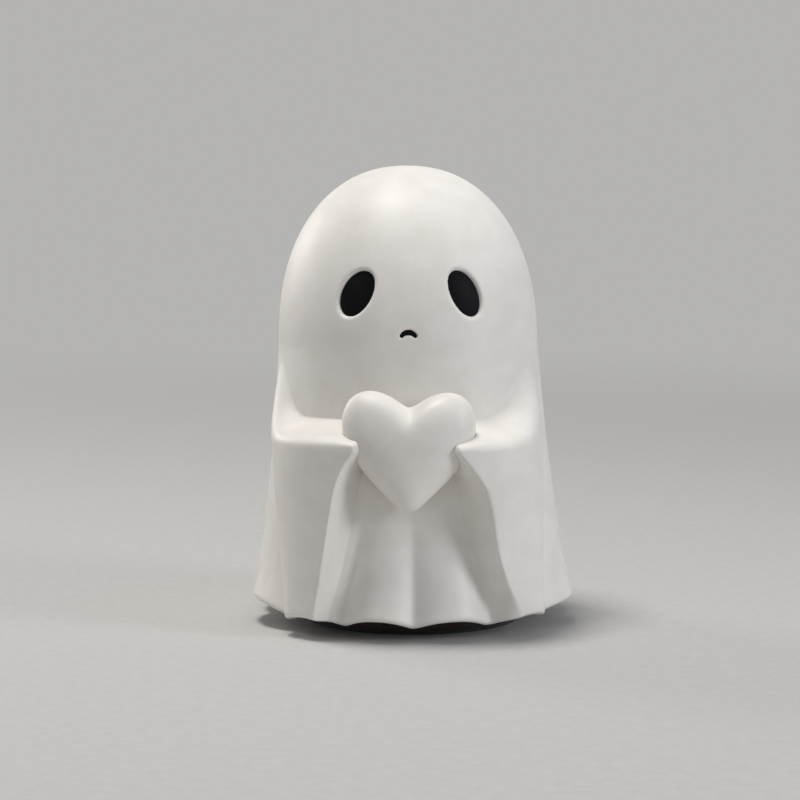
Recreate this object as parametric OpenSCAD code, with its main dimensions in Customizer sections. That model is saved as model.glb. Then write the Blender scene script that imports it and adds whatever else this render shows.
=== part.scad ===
// Ceramic ghost figure holding a heart.
// A slip-cast sheet body stands on a recessed foot. Two draped sleeves, a puffed
// heart and three dark face inlays are cast apart and seated on it.
// Millimetres, +Z up, origin on the table under the axis, the face looks along -Y.

/* [Body] */
// Height of the crown above the table
crown_z = 118; // [110:1:130]
// Height at which the head's dome begins
dome_z = 73; // [70:1:80]
// Radius of the head where the dome begins
head_r = 33.6; // [31:0.1:36]
// Radius of the sheet at its hem
hem_r = 41.7; // [39:0.1:45]
// Height of the hem above the table
hem_z = 4.4; // [3.4:0.2:6]
// Sideways lean of the head, towards the viewer's left when negative
head_sway = -1.55; // [-3:0.05:3]
// Wall of the cast shell
wall = 3.6; // [2.6:0.2:4.6]
// Fullness of the dome, where 2 is a plain ellipse
dome_power = 2.2; // [2:0.05:2.5]

/* [Folds] */
// Depth of the folds at the hem, ridge to valley
fold_depth = 4; // [1.6:0.2:4.4]
// Height at which the folds of the sides and back fade out
fold_top_z = 48; // [38:1:50]
// Height at which the front of the sheet starts to flare below the heart
front_flare_z = 35; // [30:1:40]
// Rise of the hem under each ridge
hem_lift = 2; // [0:0.2:2.6]

/* [Sleeves] */
// Height of the forearms' crest
arm_z = 48.5; // [46:0.5:52]
// Rise of the hands' tops from the crest back to the chest
hand_rise = 5.7; // [5:0.1:7]
// Drop of those tops at the very end of each hand
hand_drop = 3.8; // [2:0.1:4.8]
// Height at which the arms leave the shoulders
shoulder_z = 73; // [69:1:76]
// Reach of the hands in front of the chest
hand_reach = 13.6; // [12:0.1:16]
// How far the sleeves stand out at the hem
sleeve_swell = 3.1; // [2:0.1:4]
// Depth of the seat that each sleeve is set into
seat_depth = 1.5; // [1:0.1:2]

/* [Heart] */
// Width of the heart
heart_w = 33; // [30:0.2:34]
// Height of the heart from its tip to its lobes
heart_h = 29.8; // [28:0.2:32]
// Height of the heart's tip above the table
heart_tip_z = 33; // [31:0.5:35]
// Swell of the heart in front of its widest outline
heart_swell = 7.4; // [6:0.2:8]
// Swell of the heart behind its widest outline
heart_back = 4.6; // [4:0.2:5.4]
// Diameter of the boss that locates the heart on the chest
boss_d = 9; // [6:0.5:12]

/* [Face] */
// Length of an eye
eye_l = 12.6; // [10:0.2:14]
// Width of the eye on the viewer's left
left_eye_w = 8.3; // [6:0.1:9]
// Width of the eye on the viewer's right
right_eye_w = 7.7; // [6:0.1:9]
// Height of the eyes' centres above the table
eye_z = 86.7; // [84:0.1:89]
// Distance between the eyes' centres
eye_gap = 27.6; // [24:0.2:29]
// Width of the mouth
mouth_w = 4.4; // [3.6:0.1:6]
// Thickness of the mouth's line
mouth_t = 1.35; // [1:0.05:1.6]
// Height of the mouth above the table
mouth_z = 76.4; // [75:0.2:79]
// Depth of the sockets below the skin
socket_depth = 2.2; // [1.6:0.1:2.4]
// Depth at which the eyes lie below the skin
eye_sink = 0.8; // [0.4:0.1:1]
// Depth at which the mouth lies below the skin
mouth_sink = 0.4; // [0.2:0.1:1]

/* [Foot] */
// Distance of the foot's side from the shell's bore
foot_inset = 4.2; // [3:0.1:6]
// Wall of the foot's ring
foot_wall = 6; // [4:0.5:8]
// Thickness of the plate that closes the shell
plate_t = 4.5; // [3.5:0.5:6]
// Width of the ledge that the plate is pressed up to
ledge = 1.2; // [0.8:0.1:1.6]
// Diameter of the vent through the plate
vent_d = 6; // [4:0.5:8]
// Thickness of the felt under the foot
felt_t = 1; // [0.6:0.1:1.4]

/* [Hidden] */

// Slip between two seated pieces, and the overrun of every cut
slip = 0.1;
overrun = 2;
// Width of the hairline left round each sleeve, in degrees and in height
hairline_a = 0.25;
hairline_z = 0.2;

GLAZE = "ivory";
DARK = "#1b1c20";

// Angles are counted from the front, positive towards +X.
// Inner edge of each sleeve at the hem and at the hand
left_foot_a = 26.5;
right_foot_a = 31;
left_hand_a = 15;
right_hand_a = 12.5;
// Outer seam of each sleeve at the hem and at the shoulder
left_seam_a = 52;
right_seam_a = 53.5;
left_shoulder_a = 82;
right_shoulder_a = 73;
// Angle over which a sleeve's rounded edge rises, at the hem and at the hand
left_edge_a = 9;
right_edge_a = 13;
hand_edge_a = 2.8;
// Valleys of the folds behind the sleeves. In front the valleys are the sleeves' edges and the middle.
back_valleys_a = [95, 124, 152];
// Half angle of the flat front between the sleeves
front_a = 48;
// Angles over which a hand's top and a shoulder's corner round off
hand_end_a = 14;
shoulder_end_a = 14;
shoulder_drop = 4;
// Rounded lip along a sleeve's outer seam, at the hem and at the arm
hem_lip = 1.6;
hem_lip_a = 6;
arm_lip = 0.7;
arm_lip_a = 12;
lip_end = 8;
// Lean of the eyes' tops towards each other
left_lean_a = 29;
right_lean_a = 24;
// Shift of the eyes to the viewer's right of the head's middle
eyes_x = 0.7;

// Share of the bell's flare that is a straight slant, and how softly it starts
slant_share = 0.68;
slant_round_share = 0.01;
// Powers of the rest of the flare, of the front's flare and of the folds' fading
flare_power = 5.4;
front_power = 1.5;
fold_power = 1.15;
// Section of a fold: roundness of its ridge, its mean height, roundness of its valley
ridge_power = 2.2;
ridge_mean_share = 0.6;
valley_round_share = 0.12;
// How late each sleeve's inner edge swings towards its hand, and how fast that edge narrows
left_drape_power = 3.4;
right_drape_power = 1.7;
edge_power = 0.3;
// How far an arm keeps its reach round the body, and how square its top is
reach_power = 2.2;
hand_power = 3;
// Where an arm starts to bend up, as a share of its way from hand to shoulder, and how softly
left_bend_share = 0.5;
right_bend_share = 0.28;
lead_share = 0.1;
span_share = 0.4;

// Grid of the sheet: columns in front, on a sleeve's edge, on the sleeve and in a fold behind it
front_cols = 6;
edge_cols = 4;
sleeve_cols = 7;
fold_cols = 5;
back_cols = fold_cols * (len(back_valleys_a) + 1);
// Rows below the arms' crest, on the arms, above them and inside
low_rows = 15;
shelf_rows = 8;
high_rows = 14;
inner_rows = 9;

function mix(a, b, t) = a + (b - a) * t;
function clamp01(t) = max(0, min(1, t));
function smooth(t) = let (c = clamp01(t)) c * c * (3 - 2 * c);
function side(a) = a < 0 ? -1 : 1;
function reversed(list) = [for (i = [len(list) - 1:-1:0]) list[i]];

// Bell of the sheet, drawn in by an offset
function dome_r(z, off) =
    let (t = clamp01((z - dome_z) / (crown_z - off - dome_z)))
    (head_r - off) * pow(max(0, 1 - pow(t, dome_power)), 1 / dome_power);
// From 0 to 1, with a rounded start
function rounded(t, e) = (sqrt(t * t + e * e) - e) / (sqrt(1 + e * e) - e);
function bell_flare(z) =
    let (t = clamp01((dome_z - z) / (dome_z - hem_z)))
    mix(pow(t, flare_power), rounded(t, slant_round_share), slant_share);
function front_flare(z) = pow(clamp01((front_flare_z - z) / (front_flare_z - hem_z)), front_power);
function bell_r(z, off = 0) =
    z >= dome_z ? dome_r(z, off) : head_r - off + (hem_r - head_r) * bell_flare(z);
function front_r(z, off = 0) =
    z >= dome_z ? dome_r(z, off) : head_r - off + (hem_r - head_r) * front_flare(z);

// Inner edge, rounded edge and outer seam of a sleeve
function drape(z) = clamp01((z - hem_z) / (arm_z - hem_z));
function foot_a(s, z) =
    s < 0 ? mix(left_foot_a, left_hand_a, pow(drape(z), left_drape_power))
    : mix(right_foot_a, right_hand_a, pow(drape(z), right_drape_power));
function edge_w(s, z) = mix(s < 0 ? left_edge_a : right_edge_a, hand_edge_a, pow(drape(z), edge_power));
function seam_a(s, z) =
    let (t = clamp01((z - hem_z) / (shoulder_z - hem_z)))
    s < 0 ? mix(left_seam_a, left_shoulder_a, t) : mix(right_seam_a, right_shoulder_a, t);

// Angle at the hem of the fold line through a point, as the folds follow the sleeves' edges
function hem_angle(a, z) =
    let (
        s = side(a),
        b = abs(a),
        f = foot_a(s, z),
        e = seam_a(s, z),
        f0 = foot_a(s, hem_z),
        e0 = seam_a(s, hem_z)
    )
    s * (
        b < f ? b / f * f0
        : b < e ? mix(f0, e0, (b - f) / (e - f))
        : mix(e0, 180, (b - e) / (180 - e))
    );

// Position inside a fold, from 0 in a valley over the ridge to 1 in the next valley
fold_valleys = concat(
    [-back_valleys_a[0], -left_seam_a, -left_foot_a, 0, right_foot_a, right_seam_a],
    back_valleys_a,
    [180],
    [for (i = [len(back_valleys_a) - 1:-1:0]) 360 - back_valleys_a[i]]
);
function fold_turn(a) = a < fold_valleys[0] ? a + 360 : a;
function fold_pos(a) =
    let (b = fold_turn(a), v = fold_valleys)
    [for (i = [0:len(v) - 2]) if (b >= v[i] && b <= v[i + 1]) (b - v[i]) / (v[i + 1] - v[i])][0];
function ridge(a) = 1 - pow(1 - rounded(1 - abs(2 * fold_pos(a) - 1), valley_round_share), ridge_power);
function front_share(a) = abs(a) < front_a ? pow(cos(abs(a) * 90 / front_a), 2) : 0;
function fold_fade(a, z) =
    let (top = mix(fold_top_z, front_flare_z, front_share(a)))
    pow(clamp01((top - z) / (top - hem_z)), fold_power);

// Skin of the sheet without its arms
function sheet_r(a, z) =
    mix(bell_r(z), front_r(z), front_share(a))
    + fold_depth * (ridge(hem_angle(a, z)) - ridge_mean_share) * fold_fade(a, z);

// Way along an arm from its hand to its shoulder, and the arm's top
function arm_share(a) =
    let (s = side(a), f = foot_a(s, arm_z))
    clamp01((abs(a) - f) / (seam_a(s, shoulder_z) - f));
function bend(a) = a < 0 ? left_bend_share : right_bend_share;
function rounded_end(t) = pow(1 - clamp01(t), 2);
function arm_top(a) =
    let (
        s = side(a),
        hand = hand_drop * rounded_end((abs(a) - foot_a(s, arm_z)) / hand_end_a),
        corner = shoulder_drop * rounded_end((seam_a(s, shoulder_z) - abs(a)) / shoulder_end_a)
    )
    mix(arm_z + hand_rise, shoulder_z, smooth((arm_share(a) - bend(a)) / (1 - bend(a)))) - hand - corner;

// How far a sleeve stands out from the sheet: the arm that reaches forward, and the lip along its seam
hand_r = head_r + hand_reach;
sleeve_hem_r = hem_r + sleeve_swell;
function edge_rise(t) = let (c = clamp01(t)) sqrt(max(0, 1 - (1 - c) * (1 - c)));
function over_arm(a, z) =
    let (
        t = clamp01((z - arm_z) / (arm_top(a) - arm_z)),
        shelf = pow(1 - pow(t, hand_power), 1 / hand_power),
        far = smooth((arm_share(a) - bend(a) + lead_share) / span_share)
    )
    mix(shelf, 1 - smooth(t), far);
function sleeve_out(a, z) =
    let (
        s = side(a),
        b = abs(a),
        f = foot_a(s, z),
        e = seam_a(s, z),
        w = edge_w(s, z),
        reach = 1 - pow(clamp01((b - f - w) / (e - f - w)), reach_power),
        full = mix(sleeve_hem_r, hand_r, drape(z)) - sheet_r(a, min(z, arm_z)),
        hang = smooth(drape(z)),
        lip = mix(hem_lip, arm_lip, hang) * edge_rise((e - b) / mix(hem_lip_a, arm_lip_a, hang)),
        end = smooth((arm_top(a) - z) / lip_end)
    )
    max(0, (full * reach * over_arm(a, z) + lip * (1 - reach) * end) * edge_rise((b - f) / w));

// Columns run up the sheet and follow the sleeves' edges and the folds
function back_a(s, j) =
    let (
        knots = concat([seam_a(s, hem_z)], back_valleys_a, [180]),
        i = min(floor(j / fold_cols), len(knots) - 2)
    )
    mix(knots[i], knots[i + 1], j / fold_cols - i);
function col_a(s, k, z) =
    let (
        f = foot_a(s, z),
        w = edge_w(s, z),
        e = seam_a(s, z),
        e0 = seam_a(s, hem_z),
        k1 = k - front_cols,
        k2 = k1 - edge_cols,
        k3 = k2 - sleeve_cols
    )
    s * (
        k < front_cols ? (f - hairline_a) * k / (front_cols - 1)
        : k1 <= edge_cols ? f + w * (1 - cos(90 * k1 / edge_cols))
        : k2 <= sleeve_cols ? mix(f + w, e, k2 / sleeve_cols)
        : mix(e + hairline_a, 180, (back_a(s, k3 - 1) - e0) / (180 - e0))
    );
function in_seat(k) = k >= front_cols && k <= front_cols + edge_cols + sleeve_cols;
last_col = front_cols + edge_cols + sleeve_cols + back_cols;
// Every column as its side and number, once round the body
COLS = concat(
    [for (k = [0:last_col + 1]) [1, k]],
    [for (k = [last_col:-1:1]) [-1, k]]
);

// Height of the hem, of a column's top at the arms, and of its point between them
settle_steps = 12;
knee = 2;
knee_z = arm_z - knee;
knee_v = low_rows / (low_rows + shelf_rows);
function hem_at(a) = hem_z + hem_lift * ridge(a);
function settled(s, k, z, n) = n == 0 ? z : settled(s, k, arm_top(col_a(s, k, z)), n - 1);
tops = [for (c = COLS) settled(c[0], c[1], arm_z, settle_steps)];
function top_of(s, k) = tops[s > 0 ? k : len(COLS) - k];
function low_z(s, k, v) =
    v <= knee_v ? mix(hem_at(col_a(s, k, hem_z)), knee_z, v / knee_v)
    : mix(knee_z, top_of(s, k), (v - knee_v) / (1 - knee_v));

// Rounding of the hem, then the plate's bore and the hollow above its ledge
rim = 1.2;
bore_z = 9;
bore_r = hem_r - fold_depth - seat_depth - wall;
ledge_z = bore_z + plate_t;
inner_off = wall + seat_depth;
inner_crown = crown_z - inner_off;
// How soon the columns spread evenly round the head above the arms
ease_share = 1.6;
function plain_point(a, r, z) = [r * sin(a), -r * cos(a), z];
function sway(z) = head_sway * sin(90 * clamp01((z - ledge_z) / (crown_z - ledge_z)));
function point(a, r, z) = plain_point(a, r, z) + [sway(z), 0, 0];
// Rings of the shell, from the inner crown down to the hem and up to the outer crown
function skin_r(k, a, z) = sheet_r(a, z) - (in_seat(k) ? seat_depth : 0);
function low_ring(v, in = 0, up = 0) =
    [for (c = COLS) let (z = low_z(c[0], c[1], v) + up, a = col_a(c[0], c[1], z))
        point(a, skin_r(c[1], a, z) - in, z)];
function hem_ring(in, up = 0) =
    [for (c = COLS) let (a = col_a(c[0], c[1], hem_z), z = hem_at(a) + up)
        point(a, sheet_r(a, z) - seat_depth - in, z)];
function high_ring(w) =
    [for (c = COLS) let (
        top = top_of(c[0], c[1]),
        z = mix(top + hairline_z, crown_z, w),
        head_a = c[0] * 180 * c[1] / (last_col + 1),
        a = mix(col_a(c[0], c[1], top), head_a, smooth(ease_share * w))
    ) point(a, sheet_r(a, z), z)];
function bore_ring(r, z) = [for (c = COLS) plain_point(col_a(c[0], c[1], z), r, z)];
function inner_ring(z) =
    [for (c = COLS) let (
        a = col_a(c[0], c[1], z),
        r = mix(bell_r(z, inner_off), front_r(z, inner_off), front_share(a))
    ) point(a, min(bore_r - ledge, r), z)];

// Closed solid through rings of equal count, from a first to a last point
function cap(n, tip, ring, up) =
    [for (i = [0:n - 1]) let (p = ring + i, q = ring + (i + 1) % n) up ? [tip, q, p] : [tip, p, q]];
function band(n, i, j) =
    [for (k = [0:n - 1]) let (a = i * n + k, b = i * n + (k + 1) % n, c = j * n + (k + 1) % n, d = j * n + k)
        each [[a, c, b], [a, d, c]]];
module tipped_skin(rings, first, last) {
    n = len(rings[0]);
    m = len(rings);
    points = concat([for (r = rings) each r], [first, last]);
    faces = concat(
        cap(n, n * m, 0, false),
        [for (i = [0:m - 2]) each band(n, i, i + 1)],
        cap(n, n * m + 1, n * (m - 1), true)
    );
    polyhedron(points, faces, convexity = 8);
}

module shell_form() {
    inner = [for (i = [1:inner_rows]) inner_ring(mix(inner_crown, ledge_z, 1 - cos(90 * i / inner_rows)))];
    bore = [bore_ring(bore_r, ledge_z), bore_ring(bore_r, bore_z)];
    hem = [hem_ring(wall, rim), hem_ring(wall - rim), low_ring(0, rim), low_ring(0, 0, rim)];
    rows = low_rows + shelf_rows;
    low = [for (j = [1:rows]) low_ring(j / rows)];
    high = [for (j = [0:high_rows - 1]) high_ring(sin(90 * j / high_rows))];
    tipped_skin(
        concat(inner, bore, hem, low, high),
        [sway(inner_crown), 0, inner_crown],
        [sway(crown_z), 0, crown_z]
    );
}

// Sleeve between its seat and its own skin, one loop per row
seat_cols = edge_cols + sleeve_cols;
function sleeve_ring(s, v, in = 0, up = 0) =
    let (
        spots = [for (k = [front_cols:front_cols + seat_cols])
            let (z = low_z(s, k, v) + up) [col_a(s, k, z), z]],
        outer = [for (p = spots) let (
            seat = sheet_r(p[0], p[1]) - seat_depth + slip,
            skin = sheet_r(p[0], p[1]) + sleeve_out(p[0], p[1])
        ) point(p[0], max(skin - in, mix(seat, skin, 0.5)), p[1])],
        inner = [for (p = reversed(spots)) point(p[0], sheet_r(p[0], p[1]) - seat_depth + slip, p[1])]
    )
    s > 0 ? concat(outer, inner) : concat(reversed(outer), reversed(inner));
module looped_skin(rings) {
    n = len(rings[0]);
    m = len(rings);
    half = n / 2 - 1;
    top = n * (m - 1);
    last = n * m - 1;
    faces = concat(
        [for (i = [0:half - 1]) let (a = i, b = n - 1 - i) each [[a, a + 1, b], [a + 1, b - 1, b]]],
        [for (j = [0:m - 2]) each band(n, j, j + 1)],
        [for (i = [0:half - 1]) let (a = top + i, b = last - i) each [[a + 1, a, b], [a + 1, b, b - 1]]]
    );
    polyhedron([for (r = rings) each r], faces, convexity = 8);
}
module sleeve_form(s) {
    rows = low_rows + shelf_rows;
    looped_skin(concat(
        [sleeve_ring(s, 0, rim), sleeve_ring(s, 0, 0, rim)],
        [for (j = [1:rows]) sleeve_ring(s, j / rows)]
    ));
}

// Heart: an outline in harmonics of its width and height, swollen to front and back.
// Towards the middle the rings turn into plain ovals, so that the notch fades out.
heart_x_shares = [0.95, -0.02, -0.09, 0.02, -0.05];
heart_z_shares = [0.65, 0.44, -0.18, 0.01, -0.03, -0.02];
heart_mid_share = 0.56;
oval_share = 0.4;
crisp_share = 0.8;
swell_power = 2.5;
heart_tilt_a = 1.5;
heart_x0 = -1.3;
heart_cols = 48;
heart_front_rows = 9;
heart_back_rows = 5;
heart_y = -(head_r + slip + heart_back);
heart_mid_z = heart_tip_z + heart_h * heart_mid_share;
function heart_turn(t) = t > 180 ? t - 360 : t;
function heart_x(t) =
    let (u = heart_turn(t))
    side(u) * heart_w / 2 * (heart_x_shares * [for (i = [1:len(heart_x_shares)]) sin(i * abs(u))]);
function heart_z(t) =
    heart_h * (heart_z_shares * [for (i = [0:len(heart_z_shares) - 1]) cos(i * t)] - heart_mid_share);
function heart_ring(rho, y, grow) =
    [for (i = [0:heart_cols - 1]) let (
        t = 360 * i / heart_cols,
        edge = [heart_x(t), heart_z(t)],
        grown = edge * (1 + grow / norm(edge)),
        oval = oval_share * [heart_w * sin(t), heart_h * cos(t)],
        p = rho * mix(oval, grown, smooth(rho / crisp_share))
    ) [p[0], y, p[1]]];
module heart_place() {
    translate([heart_x0, heart_y, heart_mid_z])
        rotate([0, heart_tilt_a, 0])
            children();
}
module heart_form(grow = 0) {
    front = heart_swell + grow;
    back = heart_back + grow;
    rings = concat(
        [for (i = [1:heart_front_rows]) let (f = 90 * i / heart_front_rows)
            heart_ring(pow(sin(f), 2 / swell_power), -front * cos(f), grow)],
        [for (i = [heart_back_rows - 1:-1:1]) let (f = 90 * i / heart_back_rows)
            heart_ring(pow(sin(f), 2 / swell_power), back * cos(f), grow)]
    );
    heart_place()
        tipped_skin(rings, [0, -front, 0], [0, back, 0]);
}
boss_depth = 1.6;
module heart_boss(gap = 0) {
    heart_place()
        rotate([-90, 0, 0])
            cylinder(d = boss_d + 2 * gap, h = heart_back + boss_depth + gap);
}

// Face: every socket and inlay stands on the skin with its own +Z pointing out
probe = 0.5;
function lean_at(z) = atan((bell_r(z - probe) - bell_r(z + probe)) / (2 * probe));
module on_face(x, z) {
    r = bell_r(z);
    translate([sway(z), 0, 0])
        rotate([0, 0, asin(x / r)])
            translate([0, -r, z])
                rotate([90 - lean_at(z), 0, 0])
                    children();
}
// Oval ring at a height above the skin, which it follows as the head curves away
eye_cols = 36;
socket_flare = 0.8;
inlay_bevel = 0.5;
function oval_ring(w, grow, z) =
    [for (i = [0:eye_cols - 1]) let (
        x = (w / 2 + grow) * cos(360 * i / eye_cols),
        y = (eye_l / 2 + grow) * sin(360 * i / eye_cols)
    ) [x, y, z - (x * x + y * y) / (2 * head_r)]];
function eye_w(s) = s < 0 ? left_eye_w : right_eye_w;
module eye_place(s) {
    on_face(eyes_x + s * eye_gap / 2, eye_z)
        rotate([0, 0, s < 0 ? -left_lean_a : right_lean_a])
            children();
}
module eye_socket(s) {
    w = eye_w(s);
    top = overrun / 2;
    rings = [oval_ring(w, 0, -socket_depth), oval_ring(w, 0, -eye_sink), oval_ring(w, socket_flare, top)];
    eye_place(s)
        tipped_skin(rings, [0, 0, -socket_depth], [0, 0, top]);
}
module eye_inlay(s) {
    w = eye_w(s);
    low = slip - socket_depth;
    rings = [
        oval_ring(w, -slip, low),
        oval_ring(w, -slip, -eye_sink - inlay_bevel),
        oval_ring(w, -slip - inlay_bevel, -eye_sink)
    ];
    color(DARK)
        eye_place(s)
            tipped_skin(rings, [0, 0, low], [0, 0, -eye_sink]);
}

// Mouth: a small frown, drawn as one stroke along an arc that thins towards its ends
mouth_bow_a = 104;
mouth_links = 8;
mouth_end_share = 0.75;
mouth_end_t = mouth_end_share * mouth_t;
mouth_arc_r = (mouth_w - mouth_end_t) / 2 / sin(mouth_bow_a / 2);
module frown(gap, low, high) {
    on_face(0, mouth_z + mouth_t / 2)
        for (i = [0:mouth_links - 1])
            hull()
                for (j = [i, i + 1])
                    let (
                        t = 2 * j / mouth_links - 1,
                        a = mouth_bow_a / 2 * t,
                        d = mix(mouth_t, mouth_end_t, t * t) - 2 * gap
                    )
                        translate([mouth_arc_r * sin(a), mouth_arc_r * (cos(a) - 1), low])
                            cylinder(d = d, h = high - low, $fn = 16);
}

module body_shell() {
    color(GLAZE)
        difference() {
            shell_form();
            eye_socket(-1);
            eye_socket(1);
            frown(0, -socket_depth, overrun);
            heart_boss(slip);
        }
}
module sleeve(s) {
    color(GLAZE)
        difference() {
            sleeve_form(s);
            heart_form(slip);
        }
}
module left_sleeve() {
    sleeve(-1);
}
module right_sleeve() {
    sleeve(1);
}
module heart() {
    color(GLAZE) {
        heart_form();
        heart_boss();
    }
}
module left_eye() {
    eye_inlay(-1);
}
module right_eye() {
    eye_inlay(1);
}
module mouth() {
    color(DARK)
        frown(slip, slip - socket_depth, -mouth_sink);
}

// Foot: a plate in the shell's bore with a ring that lifts the hem off the table
foot_round = 0.8;
foot_r = bore_r - foot_inset;
module base_plate() {
    plate_r = bore_r - slip;
    top = ledge_z - slip;
    color("tan")
        rotate_extrude($fn = 96)
            polygon([
                [vent_d / 2, bore_z],
                [foot_r - foot_wall, bore_z],
                [foot_r - foot_wall, felt_t],
                [foot_r - foot_round, felt_t],
                [foot_r, felt_t + foot_round],
                [foot_r, bore_z],
                [plate_r, bore_z],
                [plate_r, top],
                [vent_d / 2, top]
            ]);
}
module felt_pad() {
    color("dimgray")
        cylinder(r = foot_r - foot_round, h = felt_t, $fn = 96);
}

body_shell();
left_sleeve();
right_sleeve();
heart();
left_eye();
right_eye();
mouth();
base_plate();
felt_pad();
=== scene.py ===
import math

import bpy
import numpy as np
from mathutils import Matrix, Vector


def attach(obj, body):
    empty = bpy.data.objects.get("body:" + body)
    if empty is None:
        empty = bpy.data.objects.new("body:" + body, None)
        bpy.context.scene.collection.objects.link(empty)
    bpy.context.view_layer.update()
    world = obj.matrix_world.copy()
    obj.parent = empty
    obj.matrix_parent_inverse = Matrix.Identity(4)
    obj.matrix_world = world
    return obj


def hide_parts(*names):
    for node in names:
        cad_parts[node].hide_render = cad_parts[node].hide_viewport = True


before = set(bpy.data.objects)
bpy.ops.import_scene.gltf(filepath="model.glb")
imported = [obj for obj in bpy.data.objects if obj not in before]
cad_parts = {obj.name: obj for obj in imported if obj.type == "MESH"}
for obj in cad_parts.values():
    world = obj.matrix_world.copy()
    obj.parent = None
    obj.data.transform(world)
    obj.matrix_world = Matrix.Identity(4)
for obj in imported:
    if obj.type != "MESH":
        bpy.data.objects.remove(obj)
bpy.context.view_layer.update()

# Sizes in millimetres, most of them the part's own. The meshes are made in metres.
MM = 0.001
# Head, skirt and folds
CROWN_Z, DOME_Z = 118.0, 73.0
HEAD_R, HEM_R, HEM_Z = 33.6, 41.7, 4.4
WALL, DOME_POWER = 3.6, 2.2
FOLD_DEPTH, FOLD_TOP_Z, FRONT_FLARE_Z, HEM_LIFT = 4.0, 48.0, 35.0, 2.0
# Arms and sleeves
ARM_Z, HAND_TOP_Z, SHOULDER_Z = 48.5, 55.2, 73.0
HAND_R, SLEEVE_HEM_R = 47.2, 44.8
SEAT_DEPTH = 1.5
# Heart
HEART_W, HEART_H, HEART_TIP_Z = 33.0, 29.8, 33.0
HEART_SWELL, HEART_BACK, HEART_X = 7.4, 4.6, -1.3
# Face
EYE_L, LEFT_EYE_W, RIGHT_EYE_W, EYE_Z, EYE_GAP, EYES_X = 12.6, 8.3, 7.7, 86.7, 27.6, 0.7
LEFT_LEAN, RIGHT_LEAN = 29.0, 24.0
MOUTH_W, MOUTH_T, MOUTH_END_T, MOUTH_Z, MOUTH_BOW = 4.4, 1.35, 1.01, 76.4, 104.0
# Plate, its ledge and its bore in the shell
PLATE_T, LEDGE, BORE_Z = 4.5, 1.2, 9.0
LEDGE_Z = BORE_Z + PLATE_T
BORE_R = HEM_R - FOLD_DEPTH - SEAT_DEPTH - WALL
# Cavity, as a depth under the sheet, and its top
INSIDE = WALL + SEAT_DEPTH
INNER_TOP_Z = CROWN_Z - INSIDE
# Clearance between pieces
SLIP = 0.1

# Angles in degrees, counted from the front, positive towards +X
LEFT_SEAM, RIGHT_SEAM, LEFT_SHOULDER, RIGHT_SHOULDER = 52.0, 53.5, 82.0, 73.0
FOLD_VALLEYS = np.array([
    -95, -LEFT_SEAM, -26.5, 0, 29, RIGHT_SEAM, 95, 124, 152, 180, 208, 236, 265,
])
# Where the front's own profile ends, to each side
FRONT_A = 48.0

# Inner edge of each sleeve and the width of its rounding, from the hem, 0, to the hand, 1
DRAPE_STEPS = (0.0, 0.1, 0.2, 0.35, 0.5, 0.65, 0.8, 0.92, 1.0)
LEFT_EDGE_A = (31.2, 30.2, 29.0, 27.2, 25.4, 23.6, 21.4, 18.2, 15.0)
RIGHT_EDGE_A = (30.0, 29.0, 27.8, 25.6, 23.3, 21.2, 18.9, 15.6, 12.5)
LEFT_EDGE_W = (3.6, 3.3, 3.0, 2.7, 2.5, 2.4, 2.4, 2.6, 2.8)
RIGHT_EDGE_W = (9.0, 7.2, 5.0, 3.6, 3.9, 4.7, 4.4, 3.0, 2.8)
# Form of that rounding, and the share of the way up from which it turns into the hand's
EDGE_START, EDGE_ROUND, HAND_FROM = 1.4, 0.4, 0.75

# The head leans a little to one side
HEAD_SWAY = -1.55
# Share of the skirt's width that is an even slant, its rounded start, and how late the rest comes
SLANT, SLANT_ROUND, FLARE_POWER = 0.68, 0.01, 5.4
# How late the skirt widens at the front
FRONT_POWER = 1.5
# How the folds deepen downwards, and the form of their ridges and valleys
FOLD_POWER, RIDGE_POWER, RIDGE_MEAN, VALLEY_ROUND = 1.15, 2.2, 0.6, 0.12
# The front of the hem hangs lower: by how much, round which angle, how far fully, and how far it fades
FRONT_DROP, DROP_MID_A, DROP_FULL_A, DROP_FADE_A = 0.9, -12.0, 34.0, 34.0

# How the arms' reach falls off round the figure, and where their top line bends up, as a share of the arm
REACH_POWER, LEFT_BEND, RIGHT_BEND = 2.2, 0.50, 0.28
# Heights where the arms' tops start to round over, back to the sheet, and their fall to the shoulders
LEFT_ROUND_Z, RIGHT_ROUND_Z, ROUND_FALL, ROUND_POWER = 49.2, 48.2, 3.0, 2.2
# Drop of the top line at the hand and at the shoulder, and the angle that each drop takes up
HAND_DROP, HAND_END_A, SHOULDER_DROP, SHOULDER_A = 2.6, 14.0, 4.0, 14.0
# Lip along a sleeve's seam: its height and the angle it takes up, at the hem and on the arm, and its end
HEM_LIP, HEM_LIP_A, ARM_LIP, ARM_LIP_A, LIP_END = 1.6, 6.0, 0.7, 12.0, 8.0

# Columns for one side of the sheet: the front, a sleeve's inner edge, the sleeve and the back
FRONT_COLS, EDGE_COLS, SLEEVE_COLS, BACK_COLS = 44, 24, 36, 60
SLEEVE_COL = FRONT_COLS + EDGE_COLS
SEAM_COL = SLEEVE_COL + SLEEVE_COLS
COLS = SEAM_COL + BACK_COLS
# Rows of the skirt below and above the height where the arms' tops begin
LOW_ROWS, SHELF_ROWS, SHELF_Z = 56, 40, ARM_Z - 2.0
ROWS = LOW_ROWS + SHELF_ROWS
# Rounds that settle a point's angle and height, which depend on each other
PLACE_ROUNDS = 12
# Steps in the cavity, round the hem's edge and from the arms to the head
CAVITY_STEPS, RIM_STEPS, NECK_STEPS = 12, 5, 12
# Heights where the head's rows for the mouth, the eyes and the dome start
MOUTH_ROWS_Z, EYE_ROWS_Z, DOME_ROWS_Z = 75.0, 79.0, 95.0
# Height of a row at the mouth and at the eyes, and the count of rows over the dome
MOUTH_ROW, EYE_ROW, DOME_ROWS = 0.2, 0.3, 40
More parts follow.
